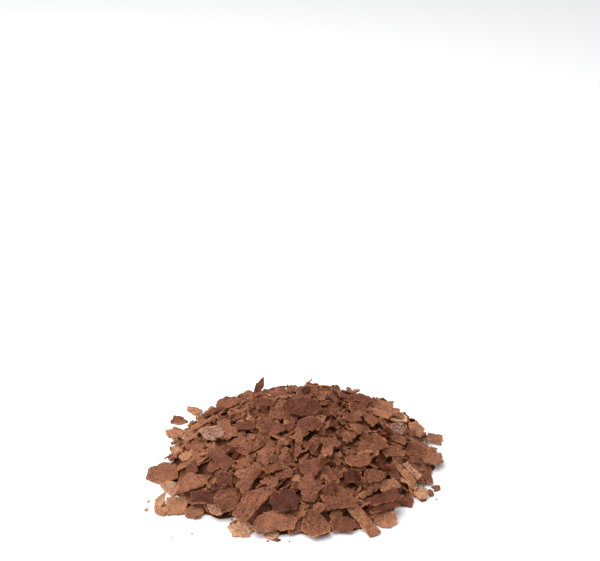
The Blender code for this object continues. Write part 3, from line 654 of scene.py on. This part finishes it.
def core_skin(heap, bed, rng):
    """The mound of crumbs under the flakes, as a closed skin with a flat foot, given as a shard's is.

    Its rings shrink to the middle, and its height is that of the bed less the sink, with each point
    raised or lowered at random by the grit. In each direction it ends where flakes, going outwards,
    first cover too little of the table to hide it.
    """
    blurred, covered = HeightMap(), HeightMap()
    blurred.height = bed
    covered.height = (heap.owner >= 0).astype(float)
    covered.height = covered.blurred(COVERED_BLUR)
    angle = np.linspace(0, FULL_TURN, CORE_SECTORS, endpoint=False)
    outwards = CORE_INSIDE[:, None] * foot_radius(angle)
    spots = np.stack([outwards * np.cos(angle), outwards * np.sin(angle)], axis=-1)
    cover = covered.at(spots.reshape(-1, 2)).reshape(outwards.shape)
    hidden = np.minimum.accumulate(cover > CORE_COVERED, axis=0).sum(axis=0)
    inside = CORE_INSIDE[np.maximum(hidden, 1) - 1]
    share = np.linspace(0, 1, CORE_RINGS + 1)[1:]
    share = np.concatenate([share, share[-1:]])
    reach = share[:, None] * inside * foot_radius(angle)
    x, y = (reach * np.cos(angle)).ravel(), (reach * np.sin(angle)).ravel()
    x, y = (np.concatenate([[0], a, [0]]) for a in (x, y))
    z = blurred.at(np.column_stack([x, y])) - CORE_SINK + rng.normal(0, CORE_GRIT, len(x))
    z = np.maximum(z, CORE_LEAST)
    z[-1 - CORE_SECTORS :] = TABLE_GAP
    points = np.column_stack([x, y, z])
    return points, closed_skin(len(share), CORE_SECTORS), points, np.zeros(len(points))


class Skins:
    """The skins that make up one piece of the scene, with what its material reads at each point."""

    def __init__(self):
        self.points, self.faces, self.places, self.edges, self.bake_and_lighting_values = [], [], [], [], []
        self.count = 0

    def add(self, points, faces, places, edges, bake=0):
        """Takes in one skin, all of one bake and painted lighting. The crumbs' material reads none, so
        theirs has none.
        """
        self.points.append(points)
        self.faces.append(faces + self.count)
        self.places.append(places)
        self.edges.append(edges)
        self.bake_and_lighting_values.append(np.full(len(points), bake))
        self.count += len(points)

    def piece(self, name, material):
        """All the skins as one object of the scene, which stands for the heap's solid."""
        points, faces = np.concatenate(self.points), np.concatenate(self.faces)
        mesh = bpy.data.meshes.new(name)
        mesh.vertices.add(len(points))
        mesh.vertices.foreach_set("co", points.astype(np.float32).ravel())
        mesh.loops.add(faces.size)
        mesh.loops.foreach_set("vertex_index", faces.astype(np.int32).ravel())
        mesh.polygons.add(len(faces))
        mesh.polygons.foreach_set("loop_start", np.arange(0, faces.size, 3, dtype=np.int32))
        mesh.update(calc_edges=True)
        read = (
            ("wafer_place", "FLOAT_VECTOR", "vector", self.places),
            ("bake", "FLOAT", "value", self.bake_and_lighting_values),
            ("edge", "FLOAT", "value", self.edges),
        )
        for label, kind, field, values in read:
            attribute = mesh.attributes.new(label, kind, "POINT")
            attribute.data.foreach_set(field, np.concatenate(values).astype(np.float32).ravel())
        mesh.shade_smooth()
        mesh.set_sharp_from_angle(angle=SHARP_FROM)
        mesh.materials.append(material)
        made = bpy.data.objects.new(name, mesh)
        bpy.context.scene.collection.objects.link(made)
        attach(made, "root")
        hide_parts("lace_crepe_heap")


def dress(flake, step, skins, rng):
    """Adds the shard to the skins of its finish. One without a finish or a bake gets a random one.

    The mean of the random bakes rises towards the heap's edge, by a power of the share of the way there:
    painted light, as of the white table lighting the flakes at the edge.
    """
    drawn_finish = rng.choice(list(FINISH_SHARES), p=list(FINISH_SHARES.values()))
    mean_bake_and_light = BAKE + RIM_PAINTED_LIGHT * foot_share(*flake.place[:2]) ** RIM_POWER
    drawn_bake = float(np.clip(rng.normal(mean_bake_and_light, BAKE_SPREAD), *BAKE_RANGE))
    finish = flake.finish or drawn_finish
    bake = drawn_bake if flake.bake is None else flake.bake
    skins[finish].add(*shard_skin(flake, step, finish, rng), bake)


def linear(hex_colour):
    """An sRGB hex colour as linear red, green, blue and alpha, by the curve of the sRGB standard."""
    parts = [int(hex_colour[i : i + 2], 16) / 255 for i in (1, 3, 5)]
    return (*(p / 12.92 if p <= 0.04045 else ((p + 0.055) / 1.055) ** 2.4 for p in parts), 1)


def add(tree, kind, values=None, **settings):
    """Adds a shader node. Values go to its inputs by name or number: a constant, or a socket to link.

    A Mix node's inputs are its share, 0, two numbers, 2 and 3, and two colours, 6 and 7.
    """
    node = tree.nodes.new("ShaderNode" + kind)
    for name, value in settings.items():
        setattr(node, name, value)
    for name, value in (values or {}).items():
        if isinstance(value, bpy.types.NodeSocket):
            tree.links.new(value, node.inputs[name])
        else:
            node.inputs[name].default_value = value
    return node


# Lace crepe is a very thin batter of flour, butter and sugar, here with cocoa, baked dry on a hot plate
# and broken. It gives the eye a matt to satin brown, with pits and pebbles where steam broke through,
# streaks along the way the batter was spread, and thin, broken edges that let light through, painted pale
# for that light. Each finish has its own share of deep pits, of clear streaks and of sugar with painted
# glints.
FINISHES = {"pitted": (1.0, 0.3, 0), "smooth": (0.3, 1.0, 0), "sugar_and_glints": (0.7, 0.3, 1.0)}

# The colours: of the faces by their bake, with ends dark and pale enough to paint a flake in shade or in
# full light as well as its bake; of a broken edge, which is painted light, as of light shining through the
# thin edge and catching it; and of white specks, partly flour and sugar and partly painted glints on the
# lit grain. An edge takes its painted light by the edge share, and by more with the bake. The specks show
# by their share times the bake, and by a further share more on a sugared wafer. The patterns fade by the
# calm share times the bake.
BAKE_AND_LIGHTING_COLOURS = ((0.0, "#3A1407"), (0.35, "#5C2D18"), (0.6, "#78462C"), (0.8, "#9B6846"), (1.0, "#C49876"))
PAINTED_EDGE_LIGHT, EDGE_LIGHT_SHARE, EDGE_LIGHT_OF_BAKE = "#C4824F", 0.35, 0.9
SUGAR_AND_GLINT_COLOUR, FLOUR_AND_GLINTS, CRUST_AND_GLINTS = "#D9BDA9", 0.17, 0.3
CALM_OF_BAKE = 0.4

# The patterns: how far apart the pits are and how unevenly, and how long a spot of each noise is, with
# how many layers of finer ones in it. Real grain and sugar are finer: these are drawn as coarse as they
# need to be to show.
PIT_SPACING, PIT_SCATTER = 0.85 * MM, 0.9
MOTTLE_SIZE, MOTTLE_DETAIL = 2.6 * MM, 3.0
GRAIN_SIZE, SUGAR_AND_GLINT_SIZE, FINE_DETAIL = 0.3 * MM, 0.4 * MM, 2.0
STREAK_LENGTH, STREAK_WIDTH = 5 * MM, 0.5 * MM

# Where each pattern starts and where it is full: the noises, a pit's wall by the distance from its
# middle, the patches of painted light on the edges, and the specks of flour, sugar and painted glints.
NOISE_FROM, NOISE_TO = 0.3, 0.7
WALL_FROM, WALL_TO = 0.1, 0.5
PATCH_FROM, PATCH_TO = 0.4, 0.6
SPECK_FROM, SPECK_TO = 0.43, 0.6

# The lightness, as a factor, where mottles and grain are lowest and highest; the grain's light end is
# partly painted glints. Then how much painted shade darkens a full pit's floor and how much painted light
# brightens its wall, and how much darker and lighter full streaks are.
MOTTLE_SHADES, GRAIN_AND_GLINT_SHADES = (0.7, 1.28), (0.46, 1.62)
PIT_FLOOR_PAINTED_SHADE, PIT_WALL_PAINTED_LIGHT = 0.5, 0.15
STREAK_CONTRAST = 0.3

# The relief: a full pit's depth, the heights of grain and of full streaks as shares of it, and how much of
# it all shows.
PIT_DEPTH = 0.18 * MM
GRAIN_HEIGHT, STREAK_HEIGHT = 0.6, 0.6
RELIEF = 0.9

# The gloss: the roughness of a pit's floor and of its wall, the refractive index of baked starch and
# sugar, and the little that a dry, porous crust mirrors. Then the light that goes through: its share, how
# deep its red, green and blue go, as shares of the depth, and the depth.
FLOOR_ROUGHNESS, WALL_ROUGHNESS = 0.7, 0.5
WAFER_IOR, WAFER_SPECULAR = 1.46, 0.15
GLOW, GLOW_COLOURS, GLOW_DEPTH = 0.12, (1.0, 0.4, 0.2), 0.8 * MM

# The crumbs: the light brown of their middles, the dark brown of painted shade in the gaps between them,
# their size, how far from a middle that shade is full, how deep the gaps are and how much of that shows,
# and their dull gloss.
CRUMB_AND_GAP_SHADE_COLOURS = ("#8C5A42", "#5E3826")
CRUMB_SIZE, CRUMB_EDGE = 0.4 * MM, 0.6
CRUMB_DEPTH, CRUMB_RELIEF = 0.2 * MM, 0.8
CRUMB_ROUGHNESS, CRUMB_SPECULAR = 0.8, 0.2


def wafer_material(name, pitted, streaked, sugar_and_glints):
    """Baked lace crepe: how deeply it is pitted, how clearly streaked and how much of it sugar and painted
    glints cover.

    The bake gives the colour, with painted light and shade. Mottles, pit walls, grain and streaks
    multiply its lightness, less so where it is pale: painted shade darkens the pits' floors, and painted
    light brightens their walls and the light side of the grain. The edges then take painted light in
    patches, and specks of flour and sugar with painted glints lie on top.
    """
    material = bpy.data.materials.new(name)
    material.use_nodes = True
    tree = material.node_tree
    surface = tree.nodes["Principled BSDF"]
    place = add(tree, "Attribute", attribute_name="wafer_place").outputs["Vector"]
    bake = add(tree, "Attribute", attribute_name="bake").outputs["Fac"]
    edge = add(tree, "Attribute", attribute_name="edge").outputs["Fac"]

    baked = add(tree, "ValToRGB", {"Fac": bake})
    stops = baked.color_ramp.elements
    for position, _ in BAKE_AND_LIGHTING_COLOURS[1:-1]:
        stops.new(position)
    for stop, (position, colour) in zip(stops, BAKE_AND_LIGHTING_COLOURS):
        stop.position = position
        stop.color = linear(colour)

    mottle = add(tree, "TexNoise", {"Vector": place, "Scale": 1 / MOTTLE_SIZE, "Detail": MOTTLE_DETAIL})
    pits = add(tree, "TexVoronoi", {"Vector": place, "Scale": 1 / PIT_SPACING, "Randomness": PIT_SCATTER})
    grain = add(tree, "TexNoise", {"Vector": place, "Scale": 1 / GRAIN_SIZE, "Detail": FINE_DETAIL})
    stretch = (1 / STREAK_LENGTH, 1 / STREAK_WIDTH, 1.0)
    spread = add(tree, "VectorMath", {0: place, 1: stretch}, operation="MULTIPLY")
    streaks = add(tree, "TexNoise", {"Vector": spread.outputs[0], "Scale": 1.0, "Detail": FINE_DETAIL})
    from_floor = {"Value": pits.outputs["Distance"], "From Min": WALL_FROM, "From Max": WALL_TO}
    wall = add(tree, "MapRange", from_floor).outputs[0]

    noise = (NOISE_FROM, NOISE_TO)
    contrast = STREAK_CONTRAST * streaked
    shades = (
        (mottle.outputs["Fac"], *noise, *MOTTLE_SHADES),
        # Painted shade on the pits' floors and painted light on their walls.
        (wall, 0.0, 1.0, 1 - PIT_FLOOR_PAINTED_SHADE * pitted, 1 + PIT_WALL_PAINTED_LIGHT * pitted),
        # Grain, lightest where it stands highest: partly real grain, partly painted glints.
        (grain.outputs["Fac"], *noise, *GRAIN_AND_GLINT_SHADES),
        (streaks.outputs["Fac"], *noise, 1 - contrast, 1 + contrast),
    )
    lightness = 1.0
    for value, low, high, dark, light in shades:
        ranged = {"Value": value, "From Min": low, "From Max": high, "To Min": dark, "To Max": light}
        shade = add(tree, "MapRange", ranged).outputs[0]
        lightness = add(tree, "Math", {0: lightness, 1: shade}, operation="MULTIPLY").outputs[0]
    calm = add(tree, "Math", {0: bake, 1: CALM_OF_BAKE}, operation="MULTIPLY").outputs[0]
    evened = add(tree, "Mix", {0: calm, 2: lightness, 3: 1.0}).outputs[0]
    shaded = add(tree, "VectorMath", {0: baked.outputs[0], "Scale": evened}, operation="SCALE")

    # Painted light on the edges, in patches, as of light shining through the thin wafer and catching it.
    by_bake = {0: bake, 1: EDGE_LIGHT_OF_BAKE, 2: EDGE_LIGHT_SHARE}
    brightest_edge_light = add(tree, "Math", by_bake, operation="MULTIPLY_ADD").outputs[0]
    patches = {
        "Value": mottle.outputs["Fac"],
        "From Min": PATCH_FROM,
        "From Max": PATCH_TO,
        "To Max": brightest_edge_light,
    }
    patchy_edge_light = add(tree, "MapRange", patches).outputs[0]
    painted_edge_light = add(tree, "Math", {0: edge, 1: patchy_edge_light}, operation="MULTIPLY").outputs[0]
    edge_lit = {0: painted_edge_light, 6: shaded.outputs[0], 7: linear(PAINTED_EDGE_LIGHT)}
    colour = add(tree, "Mix", edge_lit, data_type="RGBA").outputs[2]

    # Specks of flour and sugar, and painted glints of the lit grain.
    crust_and_glints = add(tree, "TexNoise", {"Vector": place, "Scale": 1 / SUGAR_AND_GLINT_SIZE, "Detail": FINE_DETAIL})
    by_bake = {0: bake, 1: FLOUR_AND_GLINTS, 2: CRUST_AND_GLINTS * sugar_and_glints}
    most = add(tree, "Math", by_bake, operation="MULTIPLY_ADD").outputs[0]
    specks = {"Value": crust_and_glints.outputs["Fac"], "From Min": SPECK_FROM, "From Max": SPECK_TO, "To Max": most}
    cover = add(tree, "MapRange", specks).outputs[0]
    white = {0: cover, 6: colour, 7: linear(SUGAR_AND_GLINT_COLOUR)}
    colour = add(tree, "Mix", white, data_type="RGBA").outputs[2]

    height = add(tree, "Math", {0: wall, 1: pitted}, operation="MULTIPLY").outputs[0]
    parts = ((grain.outputs["Fac"], GRAIN_HEIGHT), (streaks.outputs["Fac"], STREAK_HEIGHT * streaked))
    for value, share in parts:
        height = add(tree, "Math", {0: value, 1: share, 2: height}, operation="MULTIPLY_ADD").outputs[0]
    height = add(tree, "Math", {0: height, 1: cover}, operation="ADD").outputs[0]
    bump = add(tree, "Bump", {"Height": height, "Strength": RELIEF, "Distance": PIT_DEPTH})
    rough = {"Value": wall, "To Min": FLOOR_ROUGHNESS, "To Max": WALL_ROUGHNESS}
    tree.links.new(add(tree, "MapRange", rough).outputs[0], surface.inputs["Roughness"])
    tree.links.new(bump.outputs[0], surface.inputs["Normal"])
    tree.links.new(colour, surface.inputs["Base Color"])
    surface.inputs["IOR"].default_value = WAFER_IOR
    surface.inputs["Specular IOR Level"].default_value = WAFER_SPECULAR
    surface.inputs["Subsurface Weight"].default_value = GLOW
    surface.inputs["Subsurface Radius"].default_value = GLOW_COLOURS
    surface.inputs["Subsurface Scale"].default_value = GLOW_DEPTH
    return material


def crumb_material():
    """Crumbs that break off the same wafer and pack under the flakes: a dull brown grit, with painted
    shade in the gaps between.
    """
    material = bpy.data.materials.new("lace crepe crumbs, packed")
    material.use_nodes = True
    tree = material.node_tree
    surface = tree.nodes["Principled BSDF"]
    where = add(tree, "TexCoord").outputs["Object"]
    grit = add(tree, "TexVoronoi", {"Vector": where, "Scale": 1 / CRUMB_SIZE})
    gap = add(tree, "MapRange", {"Value": grit.outputs["Distance"], "From Max": CRUMB_EDGE}).outputs[0]
    pale, dark = (linear(colour) for colour in CRUMB_AND_GAP_SHADE_COLOURS)
    tone = add(tree, "Mix", {0: gap, 6: pale, 7: dark}, data_type="RGBA")
    relief = {"Height": gap, "Strength": CRUMB_RELIEF, "Distance": CRUMB_DEPTH}
    bump = add(tree, "Bump", relief, invert=True)
    tree.links.new(tone.outputs[2], surface.inputs["Base Color"])
    tree.links.new(bump.outputs[0], surface.inputs["Normal"])
    surface.inputs["Roughness"].default_value = CRUMB_ROUGHNESS
    surface.inputs["Specular IOR Level"].default_value = CRUMB_SPECULAR
    return material


def make_heap():
    """Lays the heap and dresses it, as one piece for each kind of shard in each finish that it has.

    The kinds are the random flakes, the photograph's own flakes on top with the loose ones, and the
    filling. A flake that is nowhere on top has few faces.
    """
    flakes, heap, bed = heap_of_flakes()
    first_key = len(flakes) - len(KEY_FLAKES)
    seen = np.bincount(heap.owner[heap.owner >= 0], minlength=len(flakes))
    rng = np.random.default_rng(LOOKS_SEED)
    core = Skins()
    core.add(*core_skin(heap, bed, rng))
    filling = filling_shards(heap, first_key, rng)
    kinds = (
        ("flakes", flakes[:first_key], SHOWN_STEP),
        ("top_flakes", flakes[first_key:] + loose_pieces(rng), KEY_STEP),
        ("shards", filling, SHOWN_STEP),
    )
    materials = {
        finish: wafer_material(f"baked lace crepe, {finish}", *shares)
        for finish, shares in FINISHES.items()
    }
    for kind, shards, step in kinds:
        skins = {finish: Skins() for finish in materials}
        for number, shard in enumerate(shards):
            hidden = kind == "flakes" and not seen[number]
            dress(shard, HIDDEN_STEP if hidden else step, skins, rng)
        for finish, material in materials.items():
            if skins[finish].count:
                skins[finish].piece(f"lace_crepe_{kind}_{finish}", material)
    core.piece("lace_crepe_crumb_core", crumb_material())


def make_studio():
    """A white table, a large softbox at the upper left, white light all round, and the camera."""
    bpy.ops.mesh.primitive_plane_add(size=TABLE_SIDE)
    table = bpy.context.object
    table.name = "table"
    board = bpy.data.materials.new("matt white table")
    board.use_nodes = True
    surface = board.node_tree.nodes["Principled BSDF"]
    surface.inputs["Base Color"].default_value = linear(TABLE_COLOUR)
    surface.inputs["Roughness"].default_value = TABLE_ROUGHNESS
    table.data.materials.append(board)

    world = bpy.data.worlds.new("white studio")
    world.use_nodes = True
    light = world.node_tree.nodes["Background"]
    light.inputs["Color"].default_value = (1, 1, 1, 1)
    light.inputs["Strength"].default_value = SURROUND_STRENGTH
    bpy.context.scene.world = world

    lamp = bpy.data.lights.new("softbox", "AREA")
    lamp.shape = "SQUARE"
    lamp.size = SOFTBOX_SIDE
    lamp.energy = SOFTBOX_POWER
    softbox = bpy.data.objects.new("softbox", lamp)
    softbox.location = SOFTBOX_PLACE
    softbox.rotation_euler = (-softbox.location).to_track_quat("-Z", "Y").to_euler()
    bpy.context.scene.collection.objects.link(softbox)

    camera = bpy.data.cameras.new("camera")
    camera.sensor_width = SENSOR
    camera.lens = LENS
    eye = bpy.data.objects.new("camera", camera)
    eye.location = CAMERA_PLACE
    eye.rotation_euler = (math.radians(90 - CAMERA_PITCH), 0, 0)
    bpy.context.scene.collection.objects.link(eye)
    bpy.context.scene.camera = eye
    bpy.context.scene.view_settings.view_transform = "Standard"


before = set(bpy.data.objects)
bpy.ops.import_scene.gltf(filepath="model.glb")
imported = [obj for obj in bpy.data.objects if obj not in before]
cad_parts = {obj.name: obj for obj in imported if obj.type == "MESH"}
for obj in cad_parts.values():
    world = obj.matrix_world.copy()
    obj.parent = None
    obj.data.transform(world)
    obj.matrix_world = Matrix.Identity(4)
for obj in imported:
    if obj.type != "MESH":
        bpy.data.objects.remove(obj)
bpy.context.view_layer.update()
make_studio()
make_heap()
